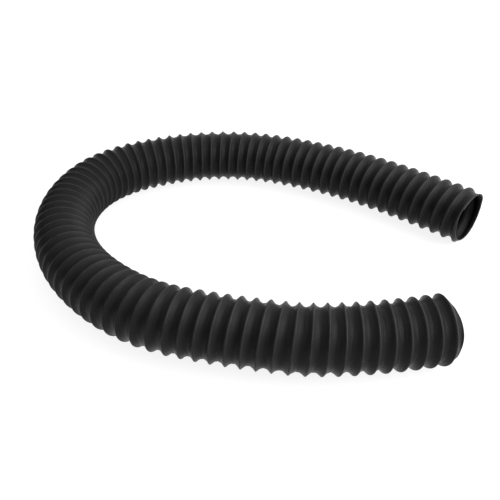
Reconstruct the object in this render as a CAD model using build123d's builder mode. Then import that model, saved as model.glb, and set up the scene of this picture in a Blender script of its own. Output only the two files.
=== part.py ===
"""A two-inch wire-reinforced vacuum hose, lying in an open C on the floor.

The hose is one long tube of three plies: a thin liner, a spring-steel coil and a convoluted
cover bonded over the coil.  It is cut square at both mouths.  The tube follows one route of
straight runs joined by tangent arcs, and it is parted square to that route into five
stretches: two legs that swing, a crown between them, and the two bends that flex.
"""

import os
from math import radians, tan

from build123d import *

# Sections of the hose, in millimetres.
BORE_D = 50.8
LINER_WALL = 0.6
COVER_D = 62.5
WIRE_D = 1.2
WIRE_SKIN = 0.3
COIL_PITCH = 13.1

# The middle of the hose runs this high, so that its crests rest on the floor.
AXIS_Z = COVER_D / 2

# The route of the middle of the hose, seen from above, from the near mouth to the far mouth.
ROUTE = [
    (154, -160),
    (62, -179),
    (-36, -163),
    (-122, -138),
    (-197, -64),
    (-225, 33),
    (-197, 123),
    (-107, 172),
    (-16, 178),
    (78, 141),
    (158, 87),
    (228, 21),
]
ARC_SHARE = 0.45

# Each stretch starts and ends half way along a run, apart from the two mouths, and bends
# round the corners of the route from its first to its last.
STRETCHES = {
    "near_leg": (1, 2),
    "near_bend": (3, 4),
    "crown": (5, 5),
    "far_bend": (6, 7),
    "far_leg": (8, 10),
}

POINTS = [Vector(x, y, AXIS_Z) for x, y in ROUTE]
RUNS = [b - a for a, b in zip(POINTS, POINTS[1:])]
WIRE_COIL_R = (COVER_D - WIRE_D) / 2 - WIRE_SKIN


def arc_radius(corner: int) -> float:
    """The radius of the arc at a corner: as large as its two runs leave room for."""
    before, after = RUNS[corner - 1], RUNS[corner]
    half_turn = radians(before.get_angle(after)) / 2
    return ARC_SHARE * min(before.length, after.length) / tan(half_turn)


def stretch_points(first: int, last: int) -> list:
    """The points of one stretch: its two ends and the corners between them."""
    start, end = POINTS[0], POINTS[-1]
    if first > 1:
        start = (POINTS[first - 1] + POINTS[first]) / 2
    if last < len(POINTS) - 2:
        end = (POINTS[last] + POINTS[last + 1]) / 2
    return [start, *POINTS[first : last + 1], end]


def stretch_line(first: int, last: int) -> Wire:
    """The middle line of one stretch, straight runs joined by tangent arcs."""
    radii = [arc_radius(corner) for corner in range(first, last + 1)]
    with BuildLine() as line:
        FilletPolyline(*stretch_points(first, last), radius=radii)
    return line.wires()[0]


def square_to(line: Wire, at: float) -> Plane:
    """The plane across the line at a share of its length."""
    return Plane(origin=line @ at, z_dir=line % at)


def make_tube(line: Wire, outer_d: float, inner_d: float) -> BuildPart:
    """A plain tube carried along the line."""
    with BuildPart() as tube:
        with BuildSketch(square_to(line, 0)):
            Circle(outer_d / 2)
            Circle(inner_d / 2, mode=Mode.SUBTRACT)
        sweep(path=line)
    return tube


def make_coil(line: Wire) -> BuildPart:
    """The coil's turns, one closed ring each, evenly spaced along the line."""
    turns = round(line.length / COIL_PITCH)
    with BuildPart() as coil:
        with Locations(*[square_to(line, (i + 0.5) / turns) for i in range(turns)]):
            Torus(WIRE_COIL_R, WIRE_D / 2)
    return coil


def save(piece: BuildPart, name: str) -> None:
    """Labels a finished piece and writes it."""
    piece.part.label = name
    export_step(piece.part, f"parts/{name}.step")


os.makedirs("parts", exist_ok=True)
liner_outer_d = BORE_D + 2 * LINER_WALL
hose_length = 0.0
hose_turns = 0

for stretch, (first_corner, last_corner) in STRETCHES.items():
    middle = stretch_line(first_corner, last_corner)
    hose_length += middle.length

    liner = make_tube(middle, liner_outer_d, BORE_D)
    save(liner, f"{stretch}_liner")

    wire = make_coil(middle)
    hose_turns += len(wire.solids())
    save(wire, f"{stretch}_wire")

    cover = make_tube(middle, COVER_D, liner_outer_d)
    save(cover, f"{stretch}_cover")

    section = cover.faces().filter_by(GeomType.PLANE)[0].area
    print(stretch, "length", round(middle.length, 1), "turns", len(wire.solids()))
    print("  cover volume", round(cover.part.volume), "section x length", round(section * middle.length))

for corner in range(1, len(POINTS) - 1):
    print("corner", corner, "bend radius", round(arc_radius(corner)))
print("hose length", round(hose_length), "turns of wire", hose_turns)
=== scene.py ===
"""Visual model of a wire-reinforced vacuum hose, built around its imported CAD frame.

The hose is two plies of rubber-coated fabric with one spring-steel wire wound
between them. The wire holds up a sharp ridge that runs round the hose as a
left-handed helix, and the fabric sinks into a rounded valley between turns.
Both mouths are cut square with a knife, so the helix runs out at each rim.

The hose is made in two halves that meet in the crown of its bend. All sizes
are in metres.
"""

import logging
import math
from dataclasses import dataclass, field
from enum import Enum
from functools import partial
from typing import Callable, Sequence

import bpy
import numpy as np
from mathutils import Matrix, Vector


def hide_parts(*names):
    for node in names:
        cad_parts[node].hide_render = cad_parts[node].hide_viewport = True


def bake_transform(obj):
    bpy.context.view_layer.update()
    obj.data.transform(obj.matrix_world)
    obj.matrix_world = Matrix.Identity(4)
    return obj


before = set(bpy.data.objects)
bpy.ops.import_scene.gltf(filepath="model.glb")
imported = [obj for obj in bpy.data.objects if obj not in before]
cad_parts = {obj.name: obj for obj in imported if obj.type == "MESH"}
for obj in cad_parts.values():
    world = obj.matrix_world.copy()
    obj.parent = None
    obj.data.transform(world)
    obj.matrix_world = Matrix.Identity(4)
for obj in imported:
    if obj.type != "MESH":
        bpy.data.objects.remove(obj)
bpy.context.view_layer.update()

LOG = logging.getLogger("hose")

Array = np.ndarray
Point = tuple[float, float, float]

AXIS_HEIGHT = 0.03125
ROUTE: tuple[Point, ...] = (
    (0.154, -0.160, AXIS_HEIGHT),
    (0.062, -0.179, AXIS_HEIGHT),
    (-0.036, -0.163, AXIS_HEIGHT),
    (-0.122, -0.138, AXIS_HEIGHT),
    (-0.197, -0.064, AXIS_HEIGHT),
    (-0.225, 0.033, AXIS_HEIGHT),
    (-0.197, 0.123, AXIS_HEIGHT),
    (-0.107, 0.172, AXIS_HEIGHT),
    (-0.016, 0.178, AXIS_HEIGHT),
    (0.078, 0.141, AXIS_HEIGHT),
    (0.158, 0.087, AXIS_HEIGHT),
    (0.228, 0.021, AXIS_HEIGHT),
)
TAU = 2.0 * math.pi
GIRTH = 0.19


class Half(Enum):
    """The two halves of the hose, named after the leg each one ends in."""

    NEAR = "near"
    FAR = "far"


class Side(Enum):
    """Which face of a ply a sheet of mesh stands for."""

    OUTER = 1
    INNER = -1


# ---------------------------------------------------------------- the line


@dataclass(frozen=True)
class HoseLine:
    """The centreline of the hose, as points read from its smooth spline.

    Args:
        points: The points in order from the near mouth to the far mouth.
    """

    points: Array

    @classmethod
    def from_route(cls, route: Sequence[Point], fineness: int = 40) -> "HoseLine":
        """Lays one NURBS curve along the route and reads its points back.

        Args:
            route: The control points, in metres.
            fineness: Points read per span of the curve.

        Returns:
            The line that the curve makes.
        """
        curve = bpy.data.curves.new("hose_line", "CURVE")
        curve.dimensions = "3D"
        curve.resolution_u = fineness
        spline = curve.splines.new("NURBS")
        spline.points.add(len(route) - 1)
        for knot, place in zip(spline.points, route):
            knot.co = (*place, 1.0)
        spline.order_u = 3
        spline.use_endpoint_u = True
        holder = bpy.data.objects.new("hose_line", curve)
        mesh = bpy.data.meshes.new_from_object(holder)
        points = np.zeros(len(mesh.vertices) * 3)
        mesh.vertices.foreach_get("co", points)
        bpy.data.meshes.remove(mesh)
        bpy.data.objects.remove(holder)
        bpy.data.curves.remove(curve)
        return cls(points.reshape(-1, 3))

    @property
    def along(self) -> Array:
        """Distance of every point from the near mouth."""
        steps = np.linalg.norm(np.diff(self.points, axis=0), axis=1)
        return np.concatenate([[0.0], np.cumsum(steps)])

    @property
    def length(self) -> float:
        """Length of the whole line."""
        return float(self.along[-1])

    def place(self, s: Array) -> tuple[Array, Array, Array]:
        """Finds the centre, the heading and the outward side at distances s.

        Past either end the line runs straight on. The heading is the slope of
        the line between its neighbouring points, and the side is the heading
        turned a quarter to the left, which points out of the bend.

        Args:
            s: Distances from the near mouth.

        Returns:
            Centres, headings and sides, each with a last axis of three.
        """
        along = self.along
        slope = np.gradient(self.points, along, axis=0)
        slope /= np.linalg.norm(slope, axis=1, keepdims=True)
        centre = np.stack(
            [np.interp(s, along, self.points[:, k]) for k in range(3)], axis=-1
        )
        heading = np.stack([np.interp(s, along, slope[:, k]) for k in range(3)], axis=-1)
        heading /= np.linalg.norm(heading, axis=-1, keepdims=True)
        over = s - np.clip(s, 0.0, along[-1])
        centre = centre + heading * np.asarray(over)[..., None]
        side = np.stack(
            [-heading[..., 1], heading[..., 0], np.zeros_like(heading[..., 0])], axis=-1
        )
        return centre, heading, side

    def bend(self, s: Array) -> Array:
        """How tightly the line bends to the side at distances s.

        It is the rate of turn of the heading, averaged over a short window so
        that the joins between the curve's spans don't show.

        Args:
            s: Distances from the near mouth.

        Returns:
            One over the radius of the bend, in 1/m.
        """
        along = np.linspace(0.0, self.length, 501)
        heading = self.place(along)[1]
        turn = np.linalg.norm(np.gradient(heading, along, axis=0), axis=1)
        window = np.hanning(41)
        smooth = np.convolve(np.pad(turn, 20, mode="edge"), window / window.sum(), "valid")
        return np.interp(s, along, smooth)

    def cut(self, start: float, end: float) -> Array:
        """The line's own points between two distances, with both ends added.

        Args:
            start: First distance.
            end: Last distance.

        Returns:
            The points in order.
        """
        along = self.along
        inside = self.points[(along > start) & (along < end)]
        ends = self.place(np.array([start, end]))[0]
        return np.concatenate([ends[:1], inside, ends[1:]])


@dataclass(frozen=True)
class Winding:
    """How the wire's turns are spread along the line.

    Args:
        length: Length of the hose.
        counts: Turns wound at the mouths and at equal shares between them, read
            off a smooth curve that was fitted to the counted ridges.
    """

    length: float
    counts: tuple[float, ...] = (-0.46, 13.2, 26.8, 40.45, 53.9, 66.92, 79.68)

    def turns(self, s: Array) -> Array:
        """Turns wound by distance s, a smooth curve through the counts.

        The curve is the polynomial of lowest degree that passes through every
        count.

        Args:
            s: Distances from the near mouth.

        Returns:
            The turns, which grow with s.
        """
        share = np.linspace(0.0, 1.0, len(self.counts))
        curve = np.polynomial.Polynomial.fit(share, self.counts, len(share) - 1)
        return curve(np.asarray(s) / self.length)

    def distance(self, turns: Array) -> Array:
        """The distance at which a number of turns has been wound.

        Args:
            turns: Turns counted as in turns().

        Returns:
            Distances from the near mouth.
        """
        s = np.linspace(-0.03, self.length + 0.03, 6001)
        return np.interp(turns, self.turns(s), s)


# ------------------------------------------------------------ the section


@dataclass(frozen=True)
class Convolution:
    """The wall's shape between one ridge and the next.

    Args:
        ridge_radius: Outer radius over the wire.
        valley_radius: Outer radius in the bottom of the valley.
        bore_radius: Clear radius inside.
        wire_radius: Half the wire's diameter.
        skin: Thickness of the fabric over the wire.
        half_pitch: Half the distance between two ridges.
    """

    ridge_radius: float = 0.03125
    valley_radius: float = 0.02710
    bore_radius: float = 0.02540
    wire_radius: float = 0.0006
    skin: float = 0.0003
    half_pitch: float = 0.00655

    @property
    def wire_centre(self) -> float:
        """Radius of the wire's own centre line."""
        return self.ridge_radius - self.skin - self.wire_radius

    def _flank(self, cap: float, crest: float, bottom: float) -> tuple[float, float]:
        """Fits a valley arch to a round cap so that they meet without a kink.

        The cap is a circle about the wire. The arch is a parabola whose lowest
        point is in the middle of the valley. The slope at which they touch is
        found by halving an interval.

        Args:
            cap: Radius of the cap.
            crest: Radius at which the cap is centred.
            bottom: Radius of the valley's bottom.

        Returns:
            Where they touch, as a distance from the ridge, and the arch's
            steepness.
        """
        low, high = 0.2, 1.4
        for _ in range(40):
            slope = 0.5 * (low + high)
            reach = self.half_pitch - cap * math.sin(slope)
            rise = bottom + 0.5 * math.tan(slope) * reach
            if rise < crest + cap * math.cos(slope):
                low = slope
            else:
                high = slope
        reach = self.half_pitch - cap * math.sin(slope)
        return cap * math.sin(slope), math.tan(slope) / (2.0 * reach)

    def radius(self, phase: Array, cap: float, bottom: float) -> Array:
        """Radius of one face of the wall.

        Args:
            phase: Turns from a ridge, where whole numbers are ridges.
            cap: Radius of the rounding over the wire.
            bottom: Radius in the valley.

        Returns:
            The radius at each phase.
        """
        away = np.abs(phase - np.round(phase)) * 2.0 * self.half_pitch
        touch, steep = self._flank(cap, self.wire_centre, bottom)
        round_part = self.wire_centre + np.sqrt(
            np.maximum(cap * cap - np.minimum(away, touch) ** 2, 0.0)
        )
        arch = bottom + steep * (self.half_pitch - away) ** 2
        return np.where(away < touch, round_part, arch)

    def cover_outside(self, phase: Array) -> Array:
        """Radius of the cover's outer face."""
        return self.radius(phase, self.wire_radius + self.skin, self.valley_radius)

    def cover_inside(self, phase: Array) -> Array:
        """Radius of the cover's inner face, a skin below the outer one."""
        wall = 0.5 * (self.valley_radius - self.bore_radius)
        return self.radius(phase, self.wire_radius, self.valley_radius - wall)

    def liner_outside(self, phase: Array) -> Array:
        """Radius of the liner's outer face, which lies under the wire."""
        wall = 0.5 * (self.valley_radius - self.bore_radius)
        bottom = self.valley_radius - wall - 0.00002
        return self._under_wire(phase, bottom, self.wire_centre - self.wire_radius)

    def liner_inside(self, phase: Array) -> Array:
        """Radius of the liner's inner face, which is the bore."""
        top = self.wire_centre - self.wire_radius - self.skin
        return self._under_wire(phase, self.bore_radius, top)

    def _under_wire(self, phase: Array, bottom: float, top: float) -> Array:
        """A softer wave that bridges under the wire, a raised cosine to a power.

        Args:
            phase: Turns from a ridge.
            bottom: Radius in the valley.
            top: Radius under the wire.

        Returns:
            The radius at each phase.
        """
        wave = 0.5 + 0.5 * np.cos(TAU * phase)
        return bottom + (top - bottom) * wave**1.6


@dataclass(frozen=True)
class Creases:
    """Slight wrinkles of the fabric between the ridges.

    Args:
        slump: How far the valley as a whole stands up or sinks.
        streak: Height of the narrow wrinkles that run along the ridges.
        seed: Fixes the pattern.
    """

    slump: float = 0.00012
    streak: float = 0.00030
    seed: int = 11

    def offset(self, s: Array, angle: Array, phase: Array) -> Array:
        """How far the valley's fabric stands off its smooth shape.

        The slump is a sum of slow waves in the angle and the distance. A
        streak is a wave of a few crests per turn of the phase, whose crests
        drift slowly with the angle and whose height swells and fades as it
        goes round. Both die away at the ridge, where the wire holds the
        fabric, as the square of the sine of half a turn of the phase.

        Args:
            s: Distances from the near mouth.
            angle: Angles round the hose.
            phase: Turns from a ridge.

        Returns:
            Offsets of the radius.
        """
        draw = np.random.default_rng(self.seed)
        slow = np.zeros(np.broadcast(s, angle).shape)
        for count, wavelength in ((2, 0.31), (3, 0.093), (5, 0.061)):
            for turn in (-1, 1):
                start, tilt = draw.uniform(0.0, TAU), draw.uniform(0.8, 1.25)
                slow += np.sin(count * angle + turn * TAU * s / (wavelength * tilt) + start)
        fine = np.zeros_like(slow)
        for crests in (2.35, 3.4, 4.3):
            drift, swell = draw.uniform(0.0, TAU, 2)
            wander = 1.1 * np.sin(2.0 * angle + TAU * s / 0.071 + drift)
            fade = 0.5 + 0.5 * np.sin(3.0 * angle - TAU * s / (0.0163 * crests) + swell)
            fine += fade * np.sin(TAU * crests * phase + wander)
        valley = np.sin(math.pi * (phase - np.floor(phase))) ** 2
        return (self.slump * slow / 2.5 + self.streak * fine / 1.5) * valley


# ---------------------------------------------------------------- meshing


@dataclass
class Shell:
    """Vertices and faces of one piece, gathered sheet by sheet."""

    points: list[Array] = field(default_factory=list)
    faces: list[Array] = field(default_factory=list)
    maps: list[Array] = field(default_factory=list)
    ridges: list[Array] = field(default_factory=list)
    count: int = 0

    def add_points(self, points: Array, spread: Array, ridge: Array) -> int:
        """Adds vertices with their place on the unrolled fabric.

        Args:
            points: Vertices, one row each.
            spread: Unrolled place of each vertex, in metres.
            ridge: How near each vertex is to the ridge, from 0 to 1.

        Returns:
            The number of the first vertex added.
        """
        first = self.count
        self.points.append(points)
        self.maps.append(spread)
        self.ridges.append(ridge)
        self.count += len(points)
        return first

    def add_faces(self, quads: Array, flip: bool = False) -> None:
        """Adds faces given as rows of four vertex numbers.

        A row that names a vertex twice in a row becomes a triangle, and one
        with fewer than three different corners is dropped.

        Args:
            quads: Rows of four vertex numbers.
            flip: Turn the faces over.
        """
        self.faces.append(quads[:, ::-1] if flip else quads)

    def build(self, name: str) -> bpy.types.Object:
        """Makes the mesh and its object at the origin.

        Args:
            name: Name of the piece.

        Returns:
            The object, linked to the scene.
        """
        points = np.concatenate(self.points)
        spread = np.concatenate(self.maps)
        ridge = np.concatenate(self.ridges)
        quads = np.concatenate(self.faces)
        same = quads == np.roll(quads, -1, axis=1)
        whole = quads[~same.any(axis=1)]
        part = quads[same.sum(axis=1) == 1]
        keep = ~same[same.sum(axis=1) == 1]
        triangles = part[keep].reshape(-1, 3)
        corners = np.concatenate([whole.ravel(), triangles.ravel()])
        sizes = np.concatenate([np.full(len(whole), 4), np.full(len(triangles), 3)])
        starts = np.concatenate([[0], np.cumsum(sizes)[:-1]])
        mesh = bpy.data.meshes.new(name)
        mesh.vertices.add(len(points))
        mesh.vertices.foreach_set("co", points.astype(np.float32).ravel())
        mesh.loops.add(len(corners))
        mesh.loops.foreach_set("vertex_index", corners.astype(np.int32))
        mesh.polygons.add(len(sizes))
        mesh.polygons.foreach_set("loop_start", starts.astype(np.int32))
        mesh.update(calc_edges=True)
        mesh.validate()
        mesh.shade_smooth()
        layer = mesh.uv_layers.new(name="fabric")
        used = np.zeros(len(mesh.loops), np.int32)
        mesh.loops.foreach_get("vertex_index", used)
        unrolled = spread[used]
        starts = np.zeros(len(mesh.polygons), np.int32)
        mesh.polygons.foreach_get("loop_start", starts)
        top = np.maximum.reduceat(unrolled[:, 1], starts)
        sizes = np.diff(np.concatenate([starts, [len(used)]]))
        behind = np.repeat(top, sizes) - unrolled[:, 1] > 0.5 * GIRTH
        unrolled[:, 1] += behind * GIRTH
        layer.data.foreach_set("uv", unrolled.astype(np.float32).ravel())
        # This nearness lightens the fabric's colour towards the ridge colour, which is partly
        # rubbed wear and partly a painted highlight along the crests.
        band = mesh.attributes.new("ridge", "FLOAT", "POINT")
        band.data.foreach_set("value", ridge.astype(np.float32))
        piece = bpy.data.objects.new(name, mesh)
        bpy.context.scene.collection.objects.link(piece)
        return piece


@dataclass(frozen=True)
class Sheet:
    """One wavy face of a ply, laid out along the wire's helix.

    Args:
        line: The hose's centreline.
        winding: The spread of its turns.
        start: Distance of the sheet's first edge, one per column.
        end: Distance of its last edge, one per column.
        rows: Places of the rows within one turn, from 0 to 1.
        columns: Columns round the hose.
        radius: Gives the radius from distance, angle and phase.
        settle: Gives the distance at which a part of the wall really lies.
        crisp: Gives how sharply the ridges stand out, from 0 to 1.
    """

    line: HoseLine
    winding: Winding
    start: Array
    end: Array
    rows: Array
    columns: int
    radius: Callable[[Array, Array, Array], Array]
    settle: Callable[[Array, Array], Array]
    crisp: Callable[[Array, Array], Array]

    def lay(self, shell: Shell, side: Side) -> tuple[Array, Array]:
        """Adds the sheet to a shell.

        Rows follow the helix, so a ridge is one unbroken row of edges: the row
        at phase v passes angle a at the distance where the turns wound are
        v minus a over a full turn. Rows that run past an edge stop on it.

        Args:
            shell: The shell that takes the sheet.
            side: Which way the sheet faces.

        Returns:
            The vertex numbers along the first and the last edge.
        """
        n, m = len(self.rows), self.columns
        angle = np.arange(m) * TAU / m
        low = self.winding.turns(self.start)
        high = self.winding.turns(self.end)
        first = math.floor(float(low.min())) - 1
        last = math.ceil(float(high.max())) + 2
        phase = (np.arange(first, last)[:, None] + self.rows[None, :]).ravel()
        wound = phase[:, None] - angle[None, :] / TAU
        margin = 0.2 / n
        before, after = wound <= low + margin, wound >= high - margin
        inside = ~(before | after)
        s = self.winding.distance(wound[inside])
        where = np.broadcast_to(angle, wound.shape)[inside]
        ids = np.zeros(wound.shape, np.int64)
        base = shell.add_points(*self._surface(s, where))
        ids[inside] = base + np.arange(len(s))
        rim_a = shell.add_points(*self._surface(self.start, angle)) + np.arange(m)
        rim_b = shell.add_points(*self._surface(self.end, angle)) + np.arange(m)
        ids = np.where(before, rim_a, np.where(after, rim_b, ids))
        wrapped = np.concatenate([ids[:n], ids[:-n]])[:, :1]
        wrapped[:n] = rim_a[0]
        ids = np.concatenate([ids, wrapped], axis=1)
        quads = np.stack(
            [ids[:-1, :-1], ids[1:, :-1], ids[1:, 1:], ids[:-1, 1:]], axis=-1
        ).reshape(-1, 4)
        shell.add_faces(quads, flip=side is Side.OUTER)
        return rim_a, rim_b

    def _surface(self, s: Array, angle: Array) -> tuple[Array, Array, Array]:
        """Places points of the sheet.

        A point is the centre plus the radius times (cosine of the angle times
        the outward side, plus sine of the angle times straight up).

        Args:
            s: Distances from the near mouth.
            angle: Angles round the hose.

        Returns:
            Points, unrolled places and nearness to the ridge.
        """
        phase = self.winding.turns(s) + angle / TAU
        centre, _, side = self.line.place(self.settle(s, angle))
        radius = self.radius(s, angle, phase)
        up = np.array([0.0, 0.0, 1.0])
        points = centre + radius[:, None] * (
            np.cos(angle)[:, None] * side + np.sin(angle)[:, None] * up
        )
        spread = np.stack([s, angle / TAU * GIRTH], axis=-1)
        away = np.abs(phase - np.round(phase)) * 2.0
        return points, spread, (1.0 - away) * self.crisp(s, angle)


def ring_faces(outer: Array, inner: Array) -> Array:
    """Quads that join two rims of the same count, once round.

    Args:
        outer: Vertex numbers of one rim.
        inner: Vertex numbers of the other.

    Returns:
        Rows of four vertex numbers.
    """
    return np.stack(
        [outer, np.roll(outer, -1), np.roll(inner, -1), inner], axis=-1
    )


# -------------------------------------------------------------- finishes


@dataclass(frozen=True)
class RubberedFabric:
    """Black rubber-coated fabric, matt outside and a little smoother inside.

    Args:
        name: Name of the finish.
        valley: Colour low in the valleys.
        ridge: Colour on the ridges: partly rubbed wear, partly a painted highlight.
        roughness: How matt it is.
        sheen: Strength of the soft nap at grazing angles.
    """

    name: str
    valley: tuple[float, float, float] = (0.0105, 0.0105, 0.0108)
    ridge: tuple[float, float, float] = (0.030, 0.030, 0.0305)
    roughness: float = 0.36
    sheen: float = 0.02

    def material(self) -> bpy.types.Material:
        """Builds the node material.

        Returns:
            The material.
        """
        mat = bpy.data.materials.new(self.name)
        mat.use_nodes = True
        nodes, links = mat.node_tree.nodes, mat.node_tree.links
        shader = nodes["Principled BSDF"]
        shader.inputs["Roughness"].default_value = self.roughness
        shader.inputs["Sheen Weight"].default_value = self.sheen
        shader.inputs["Sheen Roughness"].default_value = 0.5
        shader.inputs["Specular IOR Level"].default_value = 0.08

        band = nodes.new("ShaderNodeAttribute")
        band.attribute_name = "ridge"
        place = nodes.new("ShaderNodeTexCoord")
        dust = nodes.new("ShaderNodeTexNoise")
        dust.inputs["Scale"].default_value = 120.0
        dust.inputs["Detail"].default_value = 4.0
        links.new(place.outputs["Object"], dust.inputs["Vector"])

        # Nearness to the ridge, plus a little dust, shifts the colour from the valley's to the
        # ridge's: partly rubbed wear, partly a painted highlight along the crests.
        wear_and_highlight = nodes.new("ShaderNodeMath")
        wear_and_highlight.operation = "MULTIPLY_ADD"
        wear_and_highlight.inputs[1].default_value = 0.30
        links.new(dust.outputs["Fac"], wear_and_highlight.inputs[0])
        links.new(band.outputs["Fac"], wear_and_highlight.inputs[2])
        ramp = nodes.new("ShaderNodeValToRGB")
        ramp.color_ramp.elements[0].position = 0.25
        ramp.color_ramp.elements[0].color = (*self.valley, 1.0)
        ramp.color_ramp.elements[1].position = 1.12
        ramp.color_ramp.elements[1].color = (*self.ridge, 1.0)
        middle = ramp.color_ramp.elements.new(0.92)
        middle.color = (*(0.65 * v + 0.35 * r for v, r in zip(self.valley, self.ridge)), 1.0)
        links.new(wear_and_highlight.outputs[0], ramp.inputs["Fac"])
        links.new(ramp.outputs["Color"], shader.inputs["Base Color"])

        cloth = nodes.new("ShaderNodeUVMap")
        cloth.uv_map = "fabric"
        height = None
        for axis in ("X", "Y"):
            thread = nodes.new("ShaderNodeTexWave")
            thread.wave_type = "BANDS"
            thread.bands_direction = axis
            thread.inputs["Scale"].default_value = 330.0
            thread.inputs["Distortion"].default_value = 0.6
            links.new(cloth.outputs["UV"], thread.inputs["Vector"])
            if height is None:
                height = thread.outputs["Fac"]
                continue
            both = nodes.new("ShaderNodeMath")
            both.operation = "ADD"
            links.new(height, both.inputs[0])
            links.new(thread.outputs["Fac"], both.inputs[1])
            height = both.outputs[0]
        weave = nodes.new("ShaderNodeBump")
        weave.inputs["Strength"].default_value = 0.25
        weave.inputs["Distance"].default_value = 0.00012
        links.new(height, weave.inputs["Height"])

        crease = nodes.new("ShaderNodeTexNoise")
        crease.inputs["Scale"].default_value = 260.0
        crease.inputs["Detail"].default_value = 3.0
        stretch = nodes.new("ShaderNodeMapping")
        stretch.inputs["Scale"].default_value = (1.4, 0.10, 1.0)
        links.new(cloth.outputs["UV"], stretch.inputs["Vector"])
        links.new(stretch.outputs["Vector"], crease.inputs["Vector"])
        rumple = nodes.new("ShaderNodeBump")
        rumple.inputs["Strength"].default_value = 0.5
        rumple.inputs["Distance"].default_value = 0.0006
        links.new(crease.outputs["Fac"], rumple.inputs["Height"])
        links.new(weave.outputs["Normal"], rumple.inputs["Normal"])
        links.new(rumple.outputs["Normal"], shader.inputs["Normal"])
        return mat


@dataclass(frozen=True)
class SpringWire:
    """Drawn spring steel, bright where it has been cut.

    Args:
        name: Name of the finish.
        colour: Colour of the steel.
    """

    name: str = "drawn_wire"
    colour: tuple[float, float, float] = (0.55, 0.55, 0.56)

    def material(self) -> bpy.types.Material:
        """Builds the node material.

        Returns:
            The material.
        """
        mat = bpy.data.materials.new(self.name)
        mat.use_nodes = True
        nodes, links = mat.node_tree.nodes, mat.node_tree.links
        shader = nodes["Principled BSDF"]
        shader.inputs["Metallic"].default_value = 1.0
        shader.inputs["Base Color"].default_value = (*self.colour, 1.0)
        place = nodes.new("ShaderNodeTexCoord")
        scratch = nodes.new("ShaderNodeTexNoise")
        scratch.inputs["Scale"].default_value = 900.0
        links.new(place.outputs["Object"], scratch.inputs["Vector"])
        matt = nodes.new("ShaderNodeMapRange")
        matt.inputs["To Min"].default_value = 0.25
        matt.inputs["To Max"].default_value = 0.5
        links.new(scratch.outputs["Fac"], matt.inputs["Value"])
        links.new(matt.outputs["Result"], shader.inputs["Roughness"])
        return mat


# ------------------------------------------------------------ the pieces


@dataclass(frozen=True)
class Mouth:
    """A hand-cut end, nearly square, whose last turns are pressed back.

    Args:
        reach: How far the cut lies beyond the end of the line.
        bow: How much further it lies at two opposite places of the rim, and
            how much less half way between them.
        bow_angle: Angle round the hose of the first of those places.
        press: How far the very last turn is pressed back on one side.
        lean: How far the turns behind it lean the same way.
        press_angle: Angle round the hose at which they are pressed back most.
        step: How much further the cut lies on one stretch of the rim.
        step_ends: Angles between which that stretch lies.
        wire_stop: How far the wire stops short of the end of the line.
        press_fade: Distance over which the press falls to about a third.
        lean_fade: Distance over which the lean falls to about a third.
        unevenness: How far the cut strays along the hose.
        seed: Fixes the stray.
    """

    reach: float = 0.0
    bow: float = 0.0
    bow_angle: float = math.radians(38.0)
    press: float = 0.0
    lean: float = 0.0
    press_angle: float = math.radians(95.0)
    step: float = 0.0
    step_ends: tuple[float, float] = (math.radians(20.0), math.radians(138.0))
    wire_stop: float = 0.0009
    press_fade: float = 0.010
    lean_fade: float = 0.045
    unevenness: float = 0.00025
    seed: int = 3

    def pressed(self, away: Array, angle: Array) -> Array:
        """How far the wall is pressed back from its even place.

        The press and the lean each die away exponentially with the distance
        from the mouth, and both follow a raised cosine of the angle.

        Args:
            away: Distances from the mouth.
            angle: Angles round the hose.

        Returns:
            Distances towards the middle of the hose.
        """
        press = self.press * np.exp(-away / self.press_fade)
        along = press + self.lean * np.exp(-away / self.lean_fade)
        return along * (0.5 + 0.5 * np.cos(angle - self.press_angle))

    def stray(self, columns: int) -> Array:
        """How far outwards the cut lies at each column.

        The bow is a cosine of twice the angle, the step rises softly at its
        first angle and drops sharply at its last, as two logistic curves, and
        the unevenness is a sum of slow waves.

        Args:
            columns: Columns round the hose.

        Returns:
            Offsets along the hose, away from its middle.
        """
        draw = np.random.default_rng(self.seed)
        angle = np.arange(columns) * TAU / columns
        total = sum(
            np.sin(k * angle + draw.uniform(0.0, TAU)) / k for k in (2, 3, 5, 8, 13)
        )
        bow = self.bow * np.cos(2.0 * (angle - self.bow_angle))
        rise, drop = self.step_ends
        soft, sharp = 8.0, 40.0
        step = 1.0 / (
            1.0 + np.exp(-soft * (angle - rise)) + np.exp(sharp * (angle - drop))
        )
        return self.reach + bow + self.step * step + self.unevenness * total


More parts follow.
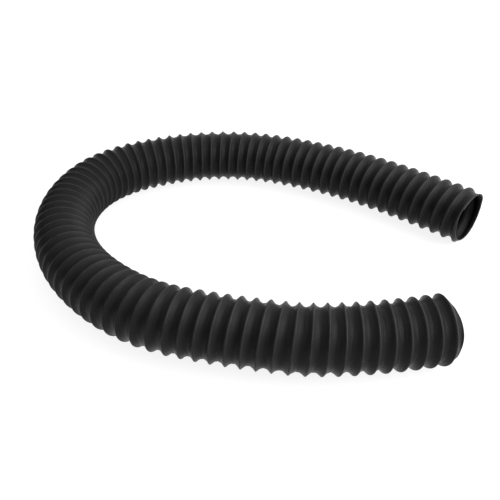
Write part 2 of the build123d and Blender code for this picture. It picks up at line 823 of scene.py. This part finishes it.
@dataclass
class HoseHalf:
    """One half of the hose: its cover, its liner and its length of wire.

    Args:
        half: Which half.
        line: The centreline of the whole hose.
        winding: The spread of the turns.
        wall: The shape of the wall.
        seam: Distance at which the halves meet.
        bend_start: Where the flexing stretch begins; not used.
        bend_end: Where it ends; not used.
        nodes: The CAD nodes that this half stands for, by ply.
        mouth: How its open end is cut.
        columns: Columns of mesh round the hose.
        creases: The wrinkles of both plies.
        flattening: Share of the valleys' depth that a bend of 1/m takes away
            on its outside.
    """

    half: Half
    line: HoseLine
    winding: Winding
    wall: Convolution
    seam: float
    bend_start: Point
    bend_end: Point
    nodes: dict[str, tuple[str, ...]]
    mouth: Mouth
    columns: int = 96
    creases: Creases = Creases()
    flattening: float = 0.038

    @property
    def leg(self) -> str:
        """Name of the CAD body that the mouth rides on."""
        return f"{self.half.value}_leg"

    def edges(self, inset: float = 0.0) -> tuple[Array, Array]:
        """Distances of this half's two edges at every column.

        Args:
            inset: How far this ply stops short of the mouth.

        Returns:
            The first and the last edge.
        """
        stray = self.mouth.stray(self.columns)
        level = np.full(self.columns, self.seam)
        if self.half is Half.NEAR:
            return inset - stray, level
        return level, self.line.length - inset + stray

    @property
    def wire_span(self) -> tuple[float, float]:
        """Turns at which this half's length of wire starts and ends."""
        if self.half is Half.NEAR:
            reach = np.array([self.mouth.wire_stop, self.seam])
        else:
            reach = np.array([self.seam, self.line.length - self.mouth.wire_stop])
        low, high = self.winding.turns(reach)
        return float(low), float(high)

    def crisp(self, s: Array, angle: Array) -> Array:
        """How deep the valleys are, as a share of their full depth.

        The outside of the bend is stretched, which pulls the valleys shallow.
        The share is one less the flattening times the bend times a raised
        cosine of the angle.

        Args:
            s: Distances from the near mouth.
            angle: Angles round the hose.

        Returns:
            Shares from 0 to 1.
        """
        return 1.0 - self.flattening * self.line.bend(s) * (0.5 + 0.5 * np.cos(angle))

    def held(self, angle: Array, phase: Array) -> Array:
        """How far the wire holds the nearest ridge up, from 0 to 1.

        The turn of the nearest ridge is the rounded phase less the share of a
        full turn that the angle makes. Past the wire's own end at the mouth
        the ridge dies away over a tenth of a turn, as a smooth step.

        Args:
            angle: Angles round the hose.
            phase: Turns from a ridge.

        Returns:
            Shares from 0 to 1.
        """
        turn = np.round(phase) - angle / TAU
        low, high = self.wire_span
        past = low - turn if self.half is Half.NEAR else turn - high
        share = np.clip(past / 0.1, 0.0, 1.0)
        return 1.0 - share * share * (3.0 - 2.0 * share)

    def wall_radius(
        self, shape: Callable[[Array], Array], s: Array, angle: Array, phase: Array
    ) -> Array:
        """Radius of one face of the wall where it is stretched, creased or slack.

        The face's height over its own valley is scaled down past the wire's
        end, and then its depth under its own ridge on the outside of the bend.

        Args:
            shape: Radius of the face by phase on a straight hose.
            s: Distances from the near mouth.
            angle: Angles round the hose.
            phase: Turns from a ridge.

        Returns:
            The radii.
        """
        ridge, valley = shape(np.zeros(1)), shape(np.full(1, 0.5))
        slack = 0.35 + 0.65 * self.held(angle, phase)
        radius = valley + (shape(phase) - valley) * slack
        radius = ridge - (ridge - radius) * self.crisp(s, angle)
        return radius + self.creases.offset(s, angle, phase)

    def settled(self, s: Array, angle: Array) -> Array:
        """Where along the line a part of the wall lies once its end is pressed.

        Args:
            s: Even distances from the near mouth.
            angle: Angles round the hose.

        Returns:
            Distances from the near mouth.
        """
        if self.half is Half.NEAR:
            return s + self.mouth.pressed(s, angle)
        return s - self.mouth.pressed(self.line.length - s, angle)

    def ply(
        self,
        name: str,
        outside: Callable[[Array], Array],
        inside: Callable[[Array], Array],
        outer_rows: Array,
        inner_rows: Array,
        inset: float = 0.0,
    ) -> bpy.types.Object:
        """Builds one ply as a closed wall.

        Args:
            name: Name of the piece.
            outside: Radius of its outer face by phase.
            inside: Radius of its inner face by phase.
            outer_rows: Places of the outer face's rows within a turn.
            inner_rows: Places of the inner face's rows within a turn.
            inset: How far it stops short of the mouth.

        Returns:
            The piece.
        """
        start, end = self.edges(inset)
        shell = Shell()

        def face(rows: Array, shape: Callable[[Array], Array]) -> Sheet:
            """Describes one face of the ply.

            Args:
                rows: Places of its rows within a turn.
                shape: Its radius by phase.

            Returns:
                The face's sheet.
            """
            return Sheet(
                self.line,
                self.winding,
                start,
                end,
                rows,
                self.columns,
                partial(self.wall_radius, shape),
                self.settled,
                self.crisp,
            )

        outer = face(outer_rows, outside).lay(shell, Side.OUTER)
        inner = face(inner_rows, inside).lay(shell, Side.INNER)
        shell.add_faces(ring_faces(outer[0], inner[0]), flip=True)
        shell.add_faces(ring_faces(outer[1], inner[1]))
        return shell.build(name)

    def wire(self, name: str, steps: int = 60, sides: int = 8) -> bpy.types.Object:
        """Builds this half's length of the wire, a round bar along the helix.

        The wire's centre at turn t and angle a = minus t whole turns lies at
        the wire's radius from the line. A ring of points is carried along it.

        Args:
            name: Name of the piece.
            steps: Rings per turn.
            sides: Points per ring.

        Returns:
            The piece.
        """
        low, high = self.wire_span
        t = np.linspace(low, high, int((high - low) * steps) + 1)
        centre = self._wire_at(t)
        heading = np.gradient(centre, axis=0)
        heading /= np.linalg.norm(heading, axis=1, keepdims=True)
        outward = self._wire_at(t, 0.001) - centre
        outward -= (outward * heading).sum(1, keepdims=True) * heading
        outward /= np.linalg.norm(outward, axis=1, keepdims=True)
        across = np.cross(heading, outward)
        around = np.arange(sides) * TAU / sides
        rings = centre[:, None] + self.wall.wire_radius * 0.97 * (
            np.cos(around)[None, :, None] * outward[:, None]
            + np.sin(around)[None, :, None] * across[:, None]
        )
        shell = Shell()
        count = len(t) * sides
        base = shell.add_points(rings.reshape(-1, 3), np.zeros((count, 2)), np.zeros(count))
        ids = base + np.arange(count).reshape(len(t), sides)
        after = np.roll(ids, -1, axis=1)
        shell.add_faces(
            np.stack([ids[:-1], after[:-1], after[1:], ids[1:]], axis=-1).reshape(-1, 4)
        )
        for row, where, flip in ((0, centre[0], True), (-1, centre[-1], False)):
            hub = shell.add_points(where[None], np.zeros((1, 2)), np.zeros(1))
            fan = np.stack(
                [ids[row], after[row], np.full(sides, hub), np.full(sides, hub)], axis=-1
            )
            shell.add_faces(fan, flip=flip)
        return shell.build(name)

    def _wire_at(self, t: Array, extra: float = 0.0) -> Array:
        """Points of the wire's centre where t turns are wound.

        The wire lies at the angle of minus t whole turns round the line.

        Args:
            t: Turns wound.
            extra: How far to move the points outwards.

        Returns:
            The points.
        """
        angle = -TAU * t
        centre, _, side = self.line.place(self.settled(self.winding.distance(t), angle))
        up = np.array([0.0, 0.0, 1.0])
        return centre + (self.wall.wire_centre + extra) * (
            np.cos(angle)[:, None] * side + np.sin(angle)[:, None] * up
        )

    def finish_piece(self, piece: bpy.types.Object, slot: str) -> None:
        """Hides the CAD nodes that the piece stands for and bakes its transform into its mesh.

        Args:
            piece: The piece.
            slot: The record's material slot.
        """
        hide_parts(*self.nodes[slot])
        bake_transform(piece)
        LOG.info("%s: %d faces", piece.name, len(piece.data.polygons))

    def build(self, finishes: dict[str, bpy.types.Material]) -> None:
        """Args:
            finishes: The material of each slot.
        """
        near_ridge = np.array([0.0, 0.03, 0.06, 0.09, 0.13, 0.19, 0.26, 0.34, 0.42])
        fine = np.concatenate([near_ridge, [0.5], (1.0 - near_ridge[:0:-1])])
        wavy = np.linspace(0.0, 1.0, 12, endpoint=False)
        coarse = np.linspace(0.0, 1.0, 5, endpoint=False)
        tag = self.half.value
        cover = self.ply(
            f"{tag}_half_cover", self.wall.cover_outside, self.wall.cover_inside, fine, coarse
        )
        liner = self.ply(
            f"{tag}_half_liner", self.wall.liner_outside, self.wall.liner_inside, coarse, wavy,
            inset=0.0002,
        )
        wire = self.wire(f"{tag}_half_wire")
        for piece, slot in ((cover, "cover"), (liner, "liner"), (wire, "wire")):
            piece.data.materials.append(finishes[slot])
            self.finish_piece(piece, slot)
        if self.half is Half.NEAR:
            path = self.line.cut(0.0, self.seam)[::-1]
        else:
            path = self.line.cut(self.seam, self.line.length)


# ------------------------------------------------------------- the studio


@dataclass(frozen=True)
class Studio:
    """A pale floor, a light tent, one soft light and the camera.

    Args:
        camera_place: Where the camera stands.
        camera_tilt: How far it looks down, in degrees.
        lens: Its focal length in millimetres.
        bright_side: Direction of the tent's brightest part.
        tent_turns: Shares along that direction at which its strength is least
            and most.
        tent_strength: Those two strengths.
        floor_reach: Half the floor's side.
        floor_glow: How brightly the floor itself shines.
        key_place: Where the soft light hangs.
        key_aim: What it points at.
        key_size: Its side.
        key_power: Its power in watts.
    """

    camera_place: Point = (-0.01503, -0.55176, 0.38801)
    camera_tilt: float = 34.95
    lens: float = 43.84
    bright_side: Point = (0.62, 0.12, 0.78)
    tent_turns: tuple[float, float] = (-0.4, 1.0)
    tent_strength: tuple[float, float] = (0.05, 1.3)
    floor_reach: float = 6.0
    floor_glow: float = 0.86
    key_place: Point = (0.8, -0.3, 0.6)
    key_aim: Point = (0.0, 0.0, 0.03)
    key_size: float = 0.9
    key_power: float = 8.5

    def camera(self) -> None:
        """Sets the camera, which looks along +Y and down."""
        data = bpy.data.cameras.new("camera")
        data.lens, data.sensor_width = self.lens, 36.0
        data.clip_start = 0.01
        cam = bpy.data.objects.new("camera", data)
        cam.location = self.camera_place
        cam.rotation_euler = (math.radians(90.0 - self.camera_tilt), 0.0, 0.0)
        bpy.context.scene.collection.objects.link(cam)
        bpy.context.scene.camera = cam

    def floor(self) -> None:
        """Lays the pale floor."""
        size = self.floor_reach
        mesh = bpy.data.meshes.new("floor")
        corners = [(-size, -size, 0), (size, -size, 0), (size, size, 0), (-size, size, 0)]
        mesh.from_pydata(corners, [], [(0, 1, 2, 3)])
        floor = bpy.data.objects.new("floor", mesh)
        bpy.context.scene.collection.objects.link(floor)
        mat = bpy.data.materials.new("pale_floor")
        mat.use_nodes = True
        shader = mat.node_tree.nodes["Principled BSDF"]
        shader.inputs["Base Color"].default_value = (0.25, 0.25, 0.25, 1.0)
        shader.inputs["Roughness"].default_value = 0.9
        shader.inputs["Specular IOR Level"].default_value = 0.1
        shader.inputs["Emission Color"].default_value = (1.0, 1.0, 1.0, 1.0)
        shader.inputs["Emission Strength"].default_value = self.floor_glow
        mesh.materials.append(mat)
        floor.visible_diffuse = False

    def light(self, name: str, place: Point, aim: Point, size: float, power: float) -> None:
        """Hangs one square soft light.

        Args:
            name: Name of the light.
            place: Where it hangs.
            aim: What it points at.
            size: Its side.
            power: Its power in watts.
        """
        data = bpy.data.lights.new(name, "AREA")
        data.shape, data.size, data.energy = "SQUARE", size, power
        lamp = bpy.data.objects.new(name, data)
        lamp.location = place
        lamp.rotation_euler = (Vector(aim) - Vector(place)).to_track_quat("-Z", "Y").to_euler()
        bpy.context.scene.collection.objects.link(lamp)

    def tent(self) -> None:
        """Surrounds the set with a light tent, brightest up on the right.

        Its strength grows evenly with the share of each direction that points
        at the bright side.
        """
        world = bpy.data.worlds.new("tent")
        bpy.context.scene.world = world
        world.use_nodes = True
        nodes, links = world.node_tree.nodes, world.node_tree.links
        glow = nodes["Background"]
        glow.inputs["Color"].default_value = (1.0, 1.0, 1.0, 1.0)
        place = nodes.new("ShaderNodeTexCoord")
        toward = nodes.new("ShaderNodeVectorMath")
        toward.operation = "DOT_PRODUCT"
        toward.inputs[1].default_value = self.bright_side
        links.new(place.outputs["Generated"], toward.inputs[0])
        grade = nodes.new("ShaderNodeMapRange")
        (from_min, from_max), (to_min, to_max) = self.tent_turns, self.tent_strength
        grade.inputs["From Min"].default_value = from_min
        grade.inputs["From Max"].default_value = from_max
        grade.inputs["To Min"].default_value = to_min
        grade.inputs["To Max"].default_value = to_max
        links.new(toward.outputs["Value"], grade.inputs["Value"])
        links.new(grade.outputs["Result"], glow.inputs["Strength"])

    def build(self) -> None:
        """Sets up the floor, the lights, the surroundings and the camera."""
        self.camera()
        self.floor()
        self.tent()
        self.light("key", self.key_place, self.key_aim, self.key_size, self.key_power)
        bpy.context.scene.view_settings.view_transform = "Standard"


def main() -> None:
    """Builds the hose around its frame and sets the studio up."""
    logging.basicConfig(level=logging.INFO, format="%(name)s: %(message)s")
    Studio().build()
    line = HoseLine.from_route(ROUTE)
    LOG.info("line: %d points, %.4f m", len(line.points), line.length)
    winding = Winding(line.length)
    # Both fabrics lighten towards the ridges: partly rubbed wear, partly a painted highlight
    # along the crests.
    finishes = {
        "cover": RubberedFabric("cover_fabric").material(),
        "liner": RubberedFabric(
            "liner_fabric",
            valley=(0.016, 0.016, 0.017),
            ridge=(0.022, 0.022, 0.023),
            roughness=0.45,
            sheen=0.0,
        ).material(),
        "wire": SpringWire().material(),
    }
    crown = np.array([-0.2168, 0.031, AXIS_HEIGHT])
    seam = float(line.along[np.linalg.norm(line.points - crown, axis=1).argmin()])
    shared = {"line": line, "winding": winding, "wall": Convolution(), "seam": seam}
    HoseHalf(
        half=Half.NEAR,
        mouth=Mouth(
            reach=0.0012,
            bow=0.0024,
            bow_angle=math.radians(52.0),
            press=0.0010,
            lean=0.0004,
        ),
        bend_start=(-0.211, -0.0155, AXIS_HEIGHT),
        bend_end=(-0.079, -0.1505, AXIS_HEIGHT),
        nodes={
            slot: (f"near_leg_{slot}", f"near_bend_{slot}", f"crown_{slot}")
            for slot in finishes
        },
        **shared,
    ).build(finishes)
    HoseHalf(
        half=Half.FAR,
        mouth=Mouth(
            reach=-0.0002, step=0.0012, lean=0.0008, press_angle=math.radians(235.0), seed=5
        ),
        bend_start=(-0.211, 0.078, AXIS_HEIGHT),
        bend_end=(-0.0615, 0.175, AXIS_HEIGHT),
        nodes={
            slot: (f"far_leg_{slot}", f"far_bend_{slot}", f"crown_{slot}")
            for slot in finishes
        },
        **shared,
    ).build(finishes)


if __name__ == "__main__":
    main()
